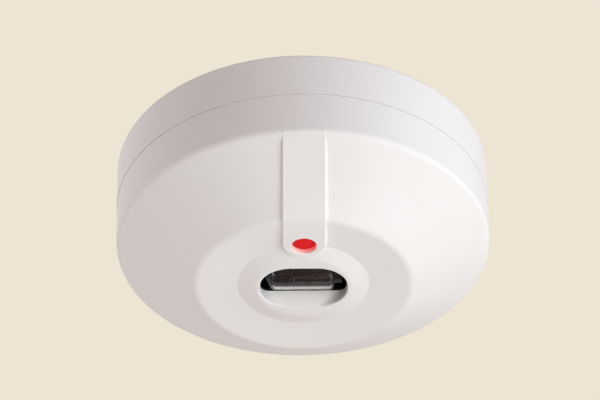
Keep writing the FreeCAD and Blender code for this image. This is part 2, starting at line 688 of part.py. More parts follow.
def make_window(body):
    """Long opening with round ends, whose sides slope in to a narrower edge."""
    tool = document.addObject("PartDesign::Body", "window_space")
    rim = new_sketch(tool, "window_rim", "XY_Plane", f"-{RIM_DEPTH}")
    rounded_outline(rim, "window_reach", WINDOW_HALF, f"{WINDOW_HALF} - window_end_flat / 2")
    throat = new_sketch(tool, "window_throat", "XY_Plane", COVER_FLOOR)
    rounded_outline(throat, "window_reach - throat_inset", THROAT_HALF, "throat_corner")
    loft = tool.newObject("PartDesign::AdditiveLoft", "window_sides")
    loft.Profile = rim
    loft.Sections = [throat]
    loft.Ruled = True
    loft.Closed = False
    extrude(tool, "Pad", rim, "cover_wall", towards_back=True)
    extrude(tool, "Pad", throat, "cover_wall")
    combine(body, "window_opening", "Cut", tool)

    level = -value(RIM_DEPTH)
    reach = value("window_reach")

    def is_rim(edge):
        box = edge.BoundBox
        is_level = abs(box.ZMin - level) < NEAR and abs(box.ZMax - level) < NEAR
        near = all(math.hypot(vertex.X, vertex.Y) < reach + NEAR for vertex in edge.Vertexes)
        return is_level and near

    fillet(body, "window_edge", is_rim, "window_round")


def strip_section(body, name, distance, depth):
    """Cross-section of the strip at a distance from the axis."""
    drawing = new_sketch(body, name, "XZ_Plane", distance)
    polygon(
        drawing,
        [
            ("-strip_width / 2", f"-({depth})"),
            ("strip_width / 2", f"-({depth})"),
            (STRIP_FOOT, f"strip_root - ({depth})"),
            (f"-{STRIP_FOOT}", f"strip_root - ({depth})"),
        ],
    )
    return drawing


def make_strip(body):
    """Raised strip from the crease to a round end, flush at its start and then proud."""
    tool = document.addObject("PartDesign::Body", "strip_form")
    rise_depth = f"{CREASE_DEPTH} + strip_rise_length * tan({CONE_SLOPE}) + strip_rise"
    start_depth = f"({CREASE_DEPTH} - strip_start_height)"
    first = strip_section(tool, "strip_start", COVER_RADIUS, start_depth)
    risen = strip_section(tool, "strip_risen", f"{COVER_RADIUS} - strip_rise_length", rise_depth)
    bend = strip_section(tool, "strip_bend", STRIP_BEND, STRIP_DEPTH)
    last = strip_section(tool, "strip_last", STRIP_END, STRIP_DEPTH)
    loft = tool.newObject("PartDesign::AdditiveLoft", "strip_loft")
    loft.Profile = first
    loft.Sections = [risen, bend, last]
    loft.Ruled = True
    loft.Closed = False

    end = new_sketch(tool, "strip_round_end", "XZ_Plane", STRIP_END)
    polygon(
        end,
        [
            ("0", f"-{STRIP_DEPTH}"),
            ("strip_width / 2", f"-{STRIP_DEPTH}"),
            (STRIP_FOOT, f"strip_root - {STRIP_DEPTH}"),
            ("0", f"strip_root - {STRIP_DEPTH}"),
        ],
    )
    revolve(tool, "Revolution", end, angle="180")

    bend_spot = -value(STRIP_BEND)
    depth = -value(STRIP_DEPTH)

    def is_bend(edge):
        box = edge.BoundBox
        on_bend = abs(box.YMin - bend_spot) < NEAR and abs(box.YMax - bend_spot) < NEAR
        level = abs(box.ZMin - depth) < NEAR and abs(box.ZMax - depth) < NEAR
        return on_bend and level

    fillet(tool, "strip_bend_edge", is_bend, "strip_bend_round")
    outside = new_sketch(tool, "strip_outside", "XY_Plane", f"2 * strip_root - {CREASE_DEPTH}")
    circle(outside, "0", "0", f"{COVER_RADIUS} - strip_start_inset")
    circle(outside, "0", "0", f"2 * {COVER_RADIUS}")
    extrude(tool, "Pocket", outside, "4 * strip_root")
    combine(body, "strip_joined", "Fuse", tool)


def make_lamp_seat(body):
    """The indicator's hole, and the collar behind it that takes the lens."""
    top = f"-{LENS_COLLAR_DEPTH}"
    seat_radius = f"{LENS_FLANGE_RADIUS} + lens_clearance"
    centre = ("0", f"-{LAMP_DISTANCE}")
    collar = new_sketch(body, "lens_collar", "XY_Plane", top)
    circle(collar, *centre, f"{seat_radius} + lens_collar")
    extrude(body, "Pad", collar, "lens_collar_height", towards_back=True)

    seat = new_sketch(body, "lens_seat", "XY_Plane", top)
    circle(seat, *centre, seat_radius)
    extrude(body, "Pocket", seat, "lens_collar_height")

    bore = new_sketch(body, "lamp_bore", "XY_Plane", top)
    circle(bore, *centre, "lamp_bore_radius")
    extrude(body, "Pocket", bore, "2 * (lens_collar_height + lens_shoulder)")
    mouth = is_ring("lamp_bore_radius", f"-{STRIP_DEPTH}", *centre)
    fillet(body, "lamp_bore_edge", mouth, "lamp_bore_round")


def make_lugs(body):
    """Bayonet lugs on the spigot."""
    lug = new_sketch(body, "bayonet_lug", "XZ_Plane")
    rectangle(
        lug,
        f"{SPIGOT_RADIUS} - spigot_wall / 2",
        f"{SEAM} + lug_lift",
        f"{SPIGOT_RADIUS} + lug_reach",
        f"{SEAM} + lug_lift + lug_height",
    )
    feature = revolve(body, "Revolution", lug, angle="lug_sweep", both_ways=True)
    round_polar(body, feature, BAYONET_LUGS)


# Circuit board and its screws


def make_main_board():
    """Board with cut corners, and holes for its own screws and the holder's."""
    body = new_body("main_board")
    outline = new_sketch(body, "board_outline", "XY_Plane", BOARD_FACE)
    side = "board_width / 2"
    inner_side = "(board_width / 2 - board_corner)"
    polygon(
        outline,
        [
            (f"-{inner_side}", f"-{BOARD_FRONT}"),
            (inner_side, f"-{BOARD_FRONT}"),
            (side, f"board_corner - {BOARD_FRONT}"),
            (side, "board_back - board_corner"),
            (inner_side, "board_back"),
            (f"-{inner_side}", "board_back"),
            (f"-{side}", "board_back - board_corner"),
            (f"-{side}", f"board_corner - {BOARD_FRONT}"),
        ],
    )
    extrude(body, "Pad", outline, "board_thickness")
    holes = new_sketch(body, "board_holes", "XY_Plane", BOARD_FACE)
    for across in (SIDE_SCREW, f"-{SIDE_SCREW}"):
        for along in (FRONT_SCREW, BACK_SCREW):
            circle(holes, across, along, "screw_radius + screw_clearance")
    for side in ("-", ""):
        circle(holes, f"{side}{HOLDER_SCREW}", "0", "holder_screw_radius + screw_clearance")
    extrude(body, "Pocket", holes, "board_thickness", towards_back=True)
    return body


def screw(name, spot, shank_radius, shank, head_radius, head, recess, upwards):
    """Screw with a cross recess. Its head's seat is at the spot."""
    across, along, seat = spot
    head_low = f"{seat} - ({head})" if upwards else seat
    shank_low = seat if upwards else f"{seat} - ({shank})"
    recess_low = head_low if upwards else f"{seat} + ({head}) - recess_depth"
    solid = fuse(
        f"{name}_solid",
        [
            rod(f"{name}_head", head_radius, head, (across, along, head_low)),
            rod(f"{name}_shank", shank_radius, shank, (across, along, shank_low)),
        ],
    )
    arms = [
        centred_block(f"{name}_arm_a", across, along, recess_low, recess, "recess_width", "recess_depth"),
        centred_block(f"{name}_arm_b", across, along, recess_low, "recess_width", recess, "recess_depth"),
    ]
    return cut(name, solid, fuse(f"{name}_recess", arms))


def make_board_screws():
    screws = []
    for across in (SIDE_SCREW, f"-{SIDE_SCREW}"):
        for along in (FRONT_SCREW, BACK_SCREW):
            screws.append(
                screw(
                    f"board_screw_{len(screws) + 1}",
                    (across, along, BOARD_FACE),
                    "screw_radius",
                    "board_thickness + screw_grip",
                    "screw_head_radius",
                    "screw_head",
                    "recess_length",
                    upwards=True,
                )
            )
    group("board_screws", screws)


def make_holder_screws():
    screws = []
    for side in ("-", ""):
        screws.append(
            screw(
                f"holder_screw_{len(screws) + 1}",
                (f"{side}{HOLDER_SCREW}", "0", BOARD_TOP),
                "holder_screw_radius",
                "board_thickness + holder_screw_grip",
                "holder_screw_head_radius",
                "holder_screw_head",
                "holder_recess_length",
                upwards=False,
            )
        )
    group("holder_screws", screws)


# Sensor tube and its holder


def make_tube_holder():
    """Trough on two end walls, open towards the window."""
    body = new_body("tube_holder")
    mouth = f"({COVER_FLOOR} + holder_window_gap)"
    floor_face = f"({TUBE_AXIS} + tube_radius + holder_floor_gap)"
    outside = f"({HOLDER_INSIDE} + holder_side)"
    ends = new_sketch(body, "holder_ends", "XY_Plane", mouth)
    for low, high in (
        (f"-{HOLDER_REACH} - holder_end", f"-{HOLDER_REACH}"),
        (HOLDER_REACH, f"{HOLDER_REACH} + holder_end"),
    ):
        rectangle(ends, low, f"-{outside}", high, outside)
    extrude(body, "Pad", ends, f"{BOARD_FACE} - {mouth}")

    walls = new_sketch(body, "holder_walls", "XY_Plane", mouth)
    rectangle(walls, f"-{HOLDER_REACH}", f"-{outside}", HOLDER_REACH, f"-{HOLDER_INSIDE}")
    rectangle(walls, f"-{HOLDER_REACH}", HOLDER_INSIDE, HOLDER_REACH, outside)
    extrude(body, "Pad", walls, f"{floor_face} + holder_floor - {mouth}")

    floor = new_sketch(body, "holder_floor_outline", "XY_Plane", floor_face)
    rectangle(floor, f"-{HOLDER_REACH}", f"-{outside}", STEM_END, outside)
    extrude(body, "Pad", floor, "holder_floor")

    saddles = new_sketch(body, "holder_saddles", "XY_Plane", floor_face)
    for side in ("-", ""):
        middle = f"{side}saddle_place"
        rectangle(
            saddles,
            f"{middle} - saddle_width / 2",
            f"-{outside}",
            f"{middle} + saddle_width / 2",
            outside,
        )
    extrude(body, "Pad", saddles, "saddle_height", towards_back=True)
    seat = new_sketch(body, "saddle_seats", "YZ_Plane")
    circle(seat, "0", TUBE_AXIS, "tube_radius + saddle_clearance")
    extrude(body, "Pocket", seat, "2 * saddle_place + 2 * saddle_width", both_ways=True)

    bores = new_sketch(body, "holder_bores", "XY_Plane", BOARD_FACE)
    for side in ("-", ""):
        circle(bores, f"{side}{HOLDER_SCREW}", "0", "holder_screw_radius + screw_clearance")
    extrude(body, "Pocket", bores, "holder_screw_grip + screw_clearance")
    return body


def is_hoop(radius, spot):
    """Tests whether an edge is a circle about the tube's axis."""
    hoop, place_x = value(radius), value(spot)

    def test(edge):
        box = edge.BoundBox
        is_flat = abs(box.XMin - place_x) < NEAR and abs(box.XMax - place_x) < NEAR
        is_round = isinstance(edge.Curve, Part.Circle)
        return is_flat and is_round and abs(edge.Curve.Radius - hoop) < NEAR

    return test


def make_tube_glass():
    """Glass bulb along X, with a pinched tip at one end and the stem's opening at the other."""
    body = new_body("tube_glass")
    section = new_sketch(body, "bulb_section", "XZ_Plane")
    taper_end = "(-tube_left - tube_taper)"
    inner = "(tube_radius - tube_wall)"
    polygon(
        section,
        [
            (f"{taper_end} - tube_tip", "0"),
            (f"{taper_end} - tube_tip", "tube_tip_radius"),
            (taper_end, "tube_tip_radius"),
            ("-tube_left", "tube_radius"),
            ("tube_right", "tube_radius"),
            ("tube_right", "stem_radius"),
            ("tube_right - tube_wall", "stem_radius"),
            ("tube_right - tube_wall", inner),
            ("-tube_left", inner),
            (f"{taper_end} + tube_wall", "tube_tip_radius - tube_wall / 2"),
            (f"{taper_end} + tube_wall", "0"),
        ],
    )
    revolve(body, "Revolution", section, axis="H_Axis")
    left = is_hoop("tube_radius", "-tube_left")
    fillet(body, "bulb_left_edge", left, "tube_left_round")
    right = is_hoop("tube_radius", "tube_right")
    fillet(body, "bulb_right_edge", right, "tube_right_round")
    tie(body, "Placement.Base.z", TUBE_AXIS)
    return body


def make_tube_stem():
    stem = rod(
        "tube_stem",
        "stem_radius - stem_clearance",
        "stem_length",
        (STEM_START, "0", TUBE_AXIS),
        axis=(1, 0, 0),
    )
    keep(stem, "tube_stem")


def ball(name, radius, spot):
    item = document.addObject("Part::Sphere", name)
    tie(item, "Radius", radius)
    return place(item, spot)


def make_tube_leads():
    """Two wires from the stem's outer end, turned up to the board."""
    leads = []
    turn = f"({STEM_END} + lead_run)"
    for side in ("-", ""):
        name = f"tube_lead_{len(leads) + 1}"
        along = f"{side}lead_spacing / 2"
        pieces = [
            rod(f"{name}_run", "lead_radius", "lead_run", (STEM_END, along, TUBE_AXIS), axis=(1, 0, 0)),
            ball(f"{name}_turn", "lead_radius", (turn, along, TUBE_AXIS)),
            rod(f"{name}_rise", "lead_radius", f"{BOARD_FACE} - {TUBE_AXIS}", (turn, along, TUBE_AXIS)),
        ]
        leads.append(fuse(name, pieces))
    group("tube_leads", leads)


def make_tube_cathode():
    """Metal plate that faces the window, with one curled edge, on a wire from the stem."""
    level = f"({TUBE_AXIS} - cathode_drop)"
    plate = block(
        "cathode_plate",
        ("-cathode_left", "-cathode_width / 2", f"{level} - cathode_thickness / 2"),
        ("cathode_left + cathode_right", "cathode_width", "cathode_thickness"),
    )
    curl = rod(
        "cathode_curl_edge",
        "cathode_curl",
        "cathode_width",
        ("-cathode_left", "-cathode_width / 2", level),
        axis=(0, 1, 0),
    )
    support = rod(
        "cathode_support",
        "cathode_support_radius",
        f"{STEM_START} - cathode_right / 2",
        ("cathode_right / 2", "0", level),
        axis=(1, 0, 0),
    )
    keep(fuse("tube_cathode", [plate, curl, support]), "tube_cathode")


def make_tube_anode():
    """Wire loop in front of the cathode."""
    level = f"({TUBE_AXIS} - anode_drop)"
    pieces = []
    for side in ("-", ""):
        along = f"{side}anode_spacing / 2"
        length = f"{STEM_START} + anode_left"
        corner = ("-anode_left", along, level)
        pieces.append(rod("anode_wire", "anode_radius", length, corner, axis=(1, 0, 0)))
        pieces.append(ball("anode_corner", "anode_radius", corner))
    bridge_start = ("-anode_left", "-anode_spacing / 2", level)
    pieces.append(rod("anode_bridge", "anode_radius", "anode_spacing", bridge_start, axis=(0, 1, 0)))
    keep(fuse("tube_anode", pieces), "tube_anode")


# Indicator


def make_indicator_lens():
    """Clear red lens with a flange that sits on a shoulder behind the strip."""
    body = new_body("indicator_lens")
    section = new_sketch(body, "lens_section", "XZ_Plane")
    face = f"(lens_recess - {STRIP_DEPTH})"
    radius = "(lamp_bore_radius - lens_clearance)"
    seat = f"-{LENS_SEAT_DEPTH}"
    polygon(
        section,
        [
            ("0", face),
            (radius, face),
            (radius, seat),
            (LENS_FLANGE_RADIUS, seat),
            (LENS_FLANGE_RADIUS, f"lens_flange {seat}"),
            ("0", f"lens_flange {seat}"),
        ],
    )
    revolve(body, "Revolution", section)
    edge = is_ring(radius, face)
    fillet(body, "lens_edge", edge, "lens_round")
    place(body, ("0", f"-{LAMP_DISTANCE}", "0"))
    return body


LAMP_TIP = f"(lens_flange + lamp_gap - {LENS_SEAT_DEPTH})"
LAMP_BASE = f"({LAMP_TIP} + lamp_length)"


def make_indicator_lamp():
    """Round-nosed lamp behind the lens, its flange on the sleeve."""
    centre = ("0", f"-{LAMP_DISTANCE}")
    nose = f"{LAMP_TIP} + lamp_radius"
    pieces = [
        rod("lamp_body", "lamp_radius", "lamp_length - lamp_radius", (*centre, nose)),
        ball("lamp_nose", "lamp_radius", (*centre, nose)),
        rod("lamp_rim", LAMP_FLANGE_RADIUS, "lamp_flange", (*centre, f"{LAMP_BASE} - lamp_flange")),
    ]
    keep(fuse("indicator_lamp", pieces), "indicator_lamp")


def make_lamp_legs():
    legs = []
    for side in ("-", ""):
        across = f"{side}lamp_leg_spacing / 2"
        legs.append(
            centred_block(
                f"lamp_leg_{len(legs) + 1}",
                across,
                f"-{LAMP_DISTANCE}",
                LAMP_BASE,
                "lamp_leg_width",
                "lamp_leg_width",
                f"{BOARD_FACE} - {LAMP_BASE}",
            )
        )
    group("lamp_legs", legs)


def make_lamp_sleeve():
    centre = ("0", f"-{LAMP_DISTANCE}", LAMP_BASE)
    height = f"{BOARD_FACE} - {LAMP_BASE}"
    outer = rod("sleeve_outside", LAMP_FLANGE_RADIUS, height, centre)
    inner = rod("sleeve_inside", f"{LAMP_FLANGE_RADIUS} - sleeve_wall", height, centre)
    keep(cut("lamp_sleeve", outer, inner), "lamp_sleeve")


# Parts on the board


def make_terminals():
    """Terminal block for the installer's wires, with its screws and clamp plates."""
    middle = f"({TERMINAL_BACK} - terminal_length / 2)"
    low = f"({hang('terminal_height')})"
    well_top = f"({low} + terminal_well)"
    width = f"{TERMINALS} * terminal_pitch"
    body = centred_block("terminal_body", "0", middle, low, width, "terminal_length", "terminal_height")
    hollows = []
    screws = []
    clamps = []
    for number in range(TERMINALS):
        across = f"({number} - ({TERMINALS} - 1) / 2) * terminal_pitch"
        well = (across, middle, low)
        hollows.append(rod("terminal_hollow", "terminal_well_radius", "terminal_well", well))
        entry_low = (
            f"{across} - terminal_entry_width / 2",
            f"{TERMINAL_BACK} - terminal_entry_depth",
            well_top,
        )
        entry_size = ("terminal_entry_width", "terminal_entry_depth", "terminal_entry_height")
        hollows.append(block("terminal_entry", entry_low, entry_size))
        head_low = f"{well_top} - terminal_screw"
        head = rod("terminal_head", "terminal_screw_radius", "terminal_screw", (across, middle, head_low))
        slot = centred_block(
            "terminal_head_slot",
            across,
            middle,
            head_low,
            "3 * terminal_screw_radius",
            "terminal_slot",
            "recess_depth",
        )
        screws.append(cut(f"terminal_screw_{number + 1}", head, slot))
        clamps.append(
            centred_block(
                f"terminal_clamp_{number + 1}",
                across,
                f"{TERMINAL_BACK} - terminal_entry_depth + clamp_clearance + clamp_length / 2",
                well_top,
                "terminal_entry_width - 2 * clamp_clearance",
                "clamp_length",
                "clamp_thickness",
            )
        )
    keep(cut("terminal_block", body, fuse("terminal_hollows", hollows)), "terminal_block")
    group("terminal_screws", screws)
    group("terminal_clamps", clamps)


def rounded_case(name, across, along, width, depth, height, rounding):
    """Box on the board, with every edge rounded but those at the board."""
    body = new_body(name)
    outline = new_sketch(body, f"{name}_outline", "XY_Plane", BOARD_FACE)
    rectangle(
        outline,
        f"{across} - {width} / 2",
        f"{along} - {depth} / 2",
        f"{across} + {width} / 2",
        f"{along} + {depth} / 2",
    )
    extrude(body, "Pad", outline, height, towards_back=True)
    board_face = value(BOARD_FACE)

    def is_free(edge):
        return edge.BoundBox.ZMin < board_face - NEAR

    fillet(body, f"{name}_edges", is_free, rounding)
    return body


def make_converter():
    """High-voltage transformer: a core with two windows, wound on its middle limb."""
    core_low = f"({hang('core_height')})"
    centre = ("converter_across", "converter_along")
    window_width = "((core_width - 3 * core_limb) / 2)"
    window_height = "(core_height - 2 * core_limb)"
    core = centred_block("core_solid", *centre, core_low, "core_width", "core_length", "core_height")
    windows = []
    for side in ("-", "+"):
        across = f"converter_across {side} (core_limb + {window_width}) / 2"
        windows.append(
            centred_block(
                "core_window",
                across,
                "converter_along",
                f"{core_low} + core_limb",
                window_width,
                "2 * core_length",
                window_height,
            )
        )
    keep(cut("converter_core", core, fuse("core_windows", windows)), "converter_core")

    low = f"{core_low} + core_limb + winding_gap"
    height = f"{window_height} - 2 * winding_gap"
    outer_width = f"core_limb + 2 * {window_width} - 2 * winding_gap"
    outer = centred_block("winding_outside", *centre, low, outer_width, "winding_length", height)
    inner_width = "core_limb + 2 * winding_gap"
    inner_depth = "core_length + 2 * winding_gap"
    inner = centred_block("winding_inside", *centre, low, inner_width, inner_depth, height)
    keep(cut("converter_winding", outer, inner), "converter_winding")


def make_electrolytic_capacitors():
    cans = []
    for number in range(CAPACITORS):
        name = f"capacitor_{number + 1}"
        body = document.addObject("PartDesign::Body", name)
        outline = new_sketch(body, f"{name}_outline", "XY_Plane", BOARD_FACE)
        circle(outline, "0", "0", "can_radius")
        extrude(body, "Pad", outline, "can_height", towards_back=True)
        fillet(body, f"{name}_rim", is_ring("can_radius", hang("can_height")), "can_round")
        place(body, (f"can_first + {number} * can_spacing", "can_along", "0"))
        cans.append(body)
    group("electrolytic_capacitors", cans)


def make_controller():
    """Controller chip, and the two rows of legs that it stands on."""
    low = hang("chip_lift + chip_height")
    chip = centred_block(
        "controller_chip", CHIP_ACROSS, "chip_along", low, "chip_width", "chip_length", "chip_height"
    )
    keep(chip, "controller_chip")
    legs = []
    for side in ("-", "+"):
        for number in range(CHIP_LEGS_A_SIDE):
            name = f"chip_leg_{len(legs) + 1}"
            along = f"chip_along + ({number} - ({CHIP_LEGS_A_SIDE} - 1) / 2) * chip_leg_pitch"
            foot_across = f"{CHIP_ACROSS} {side} (chip_width + chip_leg_reach) / 2"
            riser_across = f"{CHIP_ACROSS} {side} (chip_width + chip_leg_foot) / 2"
            foot = centred_block(
                f"{name}_foot",
                foot_across,
                along,
                hang("chip_leg_foot"),
                "chip_leg_reach",
                "chip_leg_width",
                "chip_leg_foot",
            )
            riser = centred_block(
                f"{name}_riser",
                riser_across,
                along,
                hang("chip_leg_height"),
                "chip_leg_foot",
                "chip_leg_width",
                "chip_leg_height",
            )
            legs.append(fuse(name, [foot, riser]))
    group("chip_legs", legs)


def make_chip_resistors():
    resistors = []
    for number in range(RESISTORS):
        resistors.append(
            centred_block(
                f"resistor_{number + 1}",
                RESISTOR_ACROSS,
                f"resistor_first + {number} * resistor_pitch",
                hang("resistor_height"),
                "resistor_length",
                "resistor_width",
                "resistor_height",
            )
        )
    group("chip_resistors", resistors)


def make_surge_absorber():
    """Disc on two legs, by the terminals."""
    centre_height = f"({hang('absorber_lift + absorber_radius')})"
    start = f"{ABSORBER_ACROSS} - absorber_thickness / 2"
    middle = f"({BACK_SCREW} - absorber_gap)"
    spot = (start, middle, centre_height)
    pieces = [rod("absorber_disc", "absorber_radius", "absorber_thickness", spot, axis=(1, 0, 0))]
    for side in ("-", "+"):
        along = f"{middle} {side} absorber_leg_spacing / 2"
        leg_spot = (ABSORBER_ACROSS, along, centre_height)
        leg_length = "absorber_lift + absorber_radius"
        pieces.append(rod("absorber_leg", "absorber_leg_radius", leg_length, leg_spot))
    keep(fuse("surge_absorber", pieces), "surge_absorber")


def make_jumper():
    """Pin header with a cap that joins two of its pins."""
    low = f"({hang('header_height')})"
    width = f"{HEADER_PINS} * header_pitch"
    base = centred_block("header_base", "0", HEADER_ALONG, low, width, "header_pitch", "header_height")
    cap_low = f"({low} - jumper_height)"
    cap_middle = f"-({HEADER_PINS} - 2) / 2 * header_pitch"
    cap = centred_block(
        "cap_solid", cap_middle, HEADER_ALONG, cap_low, "2 * header_pitch", "header_pitch", "jumper_height"
    )
    pins = []
    hollows = []
    for number in range(HEADER_PINS):
        across = f"({number} - ({HEADER_PINS} - 1) / 2) * header_pitch"
        pin_low = hang("header_pin_height")
        pin = ("header_pin", "header_pin", "header_pin_height")
        pins.append(centred_block(f"jumper_pin_{number + 1}", across, HEADER_ALONG, pin_low, *pin))
        wide = "header_pin + 2 * jumper_clearance"
        long = "header_pin_height + header_height"
        hollow_low = f"{pin_low} - header_height"
        hollows.append(centred_block("pin_hollow", across, HEADER_ALONG, hollow_low, wide, wide, long))
    spaces = fuse("pin_hollows", hollows)
    keep(cut("jumper_header", base, spaces), "jumper_header")
    keep(cut("jumper_cap", cap, spaces), "jumper_cap")
    group("jumper_pins", pins)


def check_document():
    """Stops if any object failed, or a cut took nothing away."""
    document.recompute()
    for item in document.Objects:
        if "Invalid" in item.State or "Error" in item.State:
            raise RuntimeError(f"{item.Name} failed: {item.State}")
        if item.isDerivedFrom("PartDesign::Pocket") or item.isDerivedFrom("PartDesign::Groove"):
            if item.BaseFeature and item.Shape.Volume > item.BaseFeature.Shape.Volume - 1e-3:
                raise RuntimeError(f"{item.Name} cuts nothing")
        if item.isDerivedFrom("PartDesign::Pad") or item.isDerivedFrom("PartDesign::Revolution"):
            if item.BaseFeature and item.Shape.Volume < item.BaseFeature.Shape.Volume + 1e-3:
                raise RuntimeError(f"{item.Name} adds nothing")
    for item in sub_parts:
        if item.Shape.isNull() or not item.Shape.isValid():
            raise RuntimeError(f"{item.Label} has no valid shape")


def main():
    make_mounting_base()
    make_main_cover()
    make_main_board()
    make_board_screws()
    make_tube_holder()
    make_holder_screws()
    make_tube_glass()
    make_tube_stem()
    make_tube_leads()
    make_tube_cathode()
    make_tube_anode()
    make_indicator_lens()
    make_indicator_lamp()
    make_lamp_legs()
    make_lamp_sleeve()
    make_terminals()
    rounded_case(
        "alarm_relay",
        "relay_across",
        "relay_along",
        "relay_length",
        "relay_width",
        "relay_height",
        "relay_round",
    )
    rounded_case(
        "film_capacitor",
        "film_across",
        "film_along",
        "film_length",
        "film_width",
        "film_height",
        "relay_round",
    )
    make_converter()
    make_electrolytic_capacitors()
    make_controller()
    make_chip_resistors()
    make_surge_absorber()
    make_jumper()
    check_document()
    os.makedirs("parts", exist_ok=True)
    for item in sub_parts:
        item.Shape.exportStep(f"parts/{item.Label}.step")
        print(item.Label, round(item.Shape.Volume, 1), len(item.Shape.Solids))


main()
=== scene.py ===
"""Looks of a ceiling-mounted flame detector. All lengths are in metres."""

import math

import bpy
from mathutils import Matrix, Vector

MM = 0.001

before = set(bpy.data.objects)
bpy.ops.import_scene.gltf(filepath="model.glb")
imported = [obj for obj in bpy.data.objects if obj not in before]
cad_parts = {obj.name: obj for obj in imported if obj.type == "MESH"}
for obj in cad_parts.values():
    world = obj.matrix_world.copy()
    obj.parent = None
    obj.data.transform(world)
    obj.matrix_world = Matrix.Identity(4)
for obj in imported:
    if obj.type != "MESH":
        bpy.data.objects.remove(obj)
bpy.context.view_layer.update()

# The camera's view, found from the round edges that the photograph shows

PICTURE_WIDTH = 600
PICTURE_HEIGHT = 400
SENSOR_WIDTH = 36.0
CAMERA_DISTANCE = 1.0
AIM = Vector((0.0, 0.0, -20.0 * MM))
AIM_ACROSS = 302.7
AIM_DOWN = 230.9
PIXELS_PER_MM = 3.724
LOOK_UP = math.radians(37.22)
TURN = math.radians(-0.85)
ROLL = math.radians(0.9)


def colour(red, green, blue):
    """A colour given in screen values from 0 to 255, as the shader's linear values."""
    parts = []
    for value in (red, green, blue):
        share = value / 255
        parts.append(share / 12.92 if share <= 0.04045 else ((share + 0.055) / 1.055) ** 2.4)
    return (*parts, 1.0)


BLACK = (0.0, 0.0, 0.0, 1.0)
WHITE = (1.0, 1.0, 1.0, 1.0)

# Shader groups. The scales of their noises are in waves per metre.

GRAIN_SCALE = 2600.0
SLOW_SCALE = 45.0
SLOW_WAVE = 0.15
PATCH_SCALE = 28.0
EDGE_MARK_SCALE = 900.0
HOLLOW_NOISE_SCALE = 420.0
LINE_SCALE = 900.0
LINES_ALONG_X = (40.0, 1.0, 1.0)
LINES_ALONG_Z = (1.0, 1.0, 40.0)
EDGE_REACH = 0.5 * MM
METAL_EDGE_REACH = 0.15 * MM
HOLLOW_REACH = 2.0 * MM

# Cosine of the turn between the rounded and the real surface, where the paler edge, part wear and part
# painted highlight, begins and is full
EDGE_MARK_BEGINS = 0.998
EDGE_MARK_FULL = 0.90

# How open a hollow is where the darkening begins and is full
HOLLOW_BEGINS = 0.85
HOLLOW_FULL = 0.25


def new_group(name, inputs, outputs):
    """An empty shader group with its named inputs and outputs."""
    group = bpy.data.node_groups.new(name, "ShaderNodeTree")
    for label, kind, value in inputs:
        socket = group.interface.new_socket(label, in_out="INPUT", socket_type=kind)
        socket.default_value = value
    for label, kind in outputs:
        group.interface.new_socket(label, in_out="OUTPUT", socket_type=kind)
    return group, group.nodes.new("NodeGroupInput"), group.nodes.new("NodeGroupOutput")


def add_node(tree, kind, **settings):
    node = tree.nodes.new(kind)
    for key, value in settings.items():
        setattr(node, key, value)
    return node


def number(tree, operation, first, second, clamp=False):
    """A Math node. Each value is a number or a socket."""
    node = add_node(tree, "ShaderNodeMath", operation=operation, use_clamp=clamp)
    for place, value in enumerate((first, second)):
        if isinstance(value, (int, float)):
            node.inputs[place].default_value = value
        else:
            tree.links.new(value, node.inputs[place])
    return node.outputs[0]


def spread(tree, value, low, high, new_low=0.0, new_high=1.0):
    """A Map Range node that clamps."""
    node = add_node(tree, "ShaderNodeMapRange")
    tree.links.new(value, node.inputs["Value"])
    ends = {"From Min": low, "From Max": high, "To Min": new_low, "To Max": new_high}
    for label, setting in ends.items():
        node.inputs[label].default_value = setting
    return node.outputs["Result"]


def cloud(tree, scale, detail=2.0, roughness=0.5, place=None):
    """A noise texture in the part's own metres. Its scale is a number or a socket."""
    node = add_node(tree, "ShaderNodeTexNoise")
    if isinstance(scale, (int, float)):
        node.inputs["Scale"].default_value = scale
    else:
        tree.links.new(scale, node.inputs["Scale"])
    node.inputs["Detail"].default_value = detail
    node.inputs["Roughness"].default_value = roughness
    if place is None:
        place = add_node(tree, "ShaderNodeTexCoord").outputs["Object"]
    tree.links.new(place, node.inputs["Vector"])
    return node.outputs["Fac"]


def blend_colours(tree, share, first, second):
    """A Mix node that turns from the first colour to the second as the share grows."""
    node = add_node(tree, "ShaderNodeMix", data_type="RGBA", clamp_factor=True)
    tree.links.new(share, node.inputs["Factor"])
    for label, value in (("A", first), ("B", second)):
        socket = next(s for s in node.inputs if s.name == label and s.type == "RGBA")
        if isinstance(value, tuple):
            socket.default_value = value
        else:
            tree.links.new(value, socket)
    return next(s for s in node.outputs if s.type == "RGBA")


def make_worn_and_highlit_edges():
    """Mask that is 1 on outer and inner edges, broken up by a fine noise."""
    group, given, result = new_group(
        "worn_and_highlit_edges",
        [("Reach", "NodeSocketFloat", EDGE_REACH)],
        [("Mask", "NodeSocketFloat")],
    )
    bevel = add_node(group, "ShaderNodeBevel", samples=6)
    group.links.new(given.outputs["Reach"], bevel.inputs["Radius"])
    surface = add_node(group, "ShaderNodeNewGeometry")
    turn = add_node(group, "ShaderNodeVectorMath", operation="DOT_PRODUCT")
    group.links.new(bevel.outputs["Normal"], turn.inputs[0])
    group.links.new(surface.outputs["Normal"], turn.inputs[1])
    edge = spread(group, turn.outputs["Value"], EDGE_MARK_BEGINS, EDGE_MARK_FULL)
    broken = spread(group, cloud(group, EDGE_MARK_SCALE, 3.0), 0.35, 0.65, 0.5, 1.0)
    group.links.new(number(group, "MULTIPLY", edge, broken), result.inputs["Mask"])
    return group


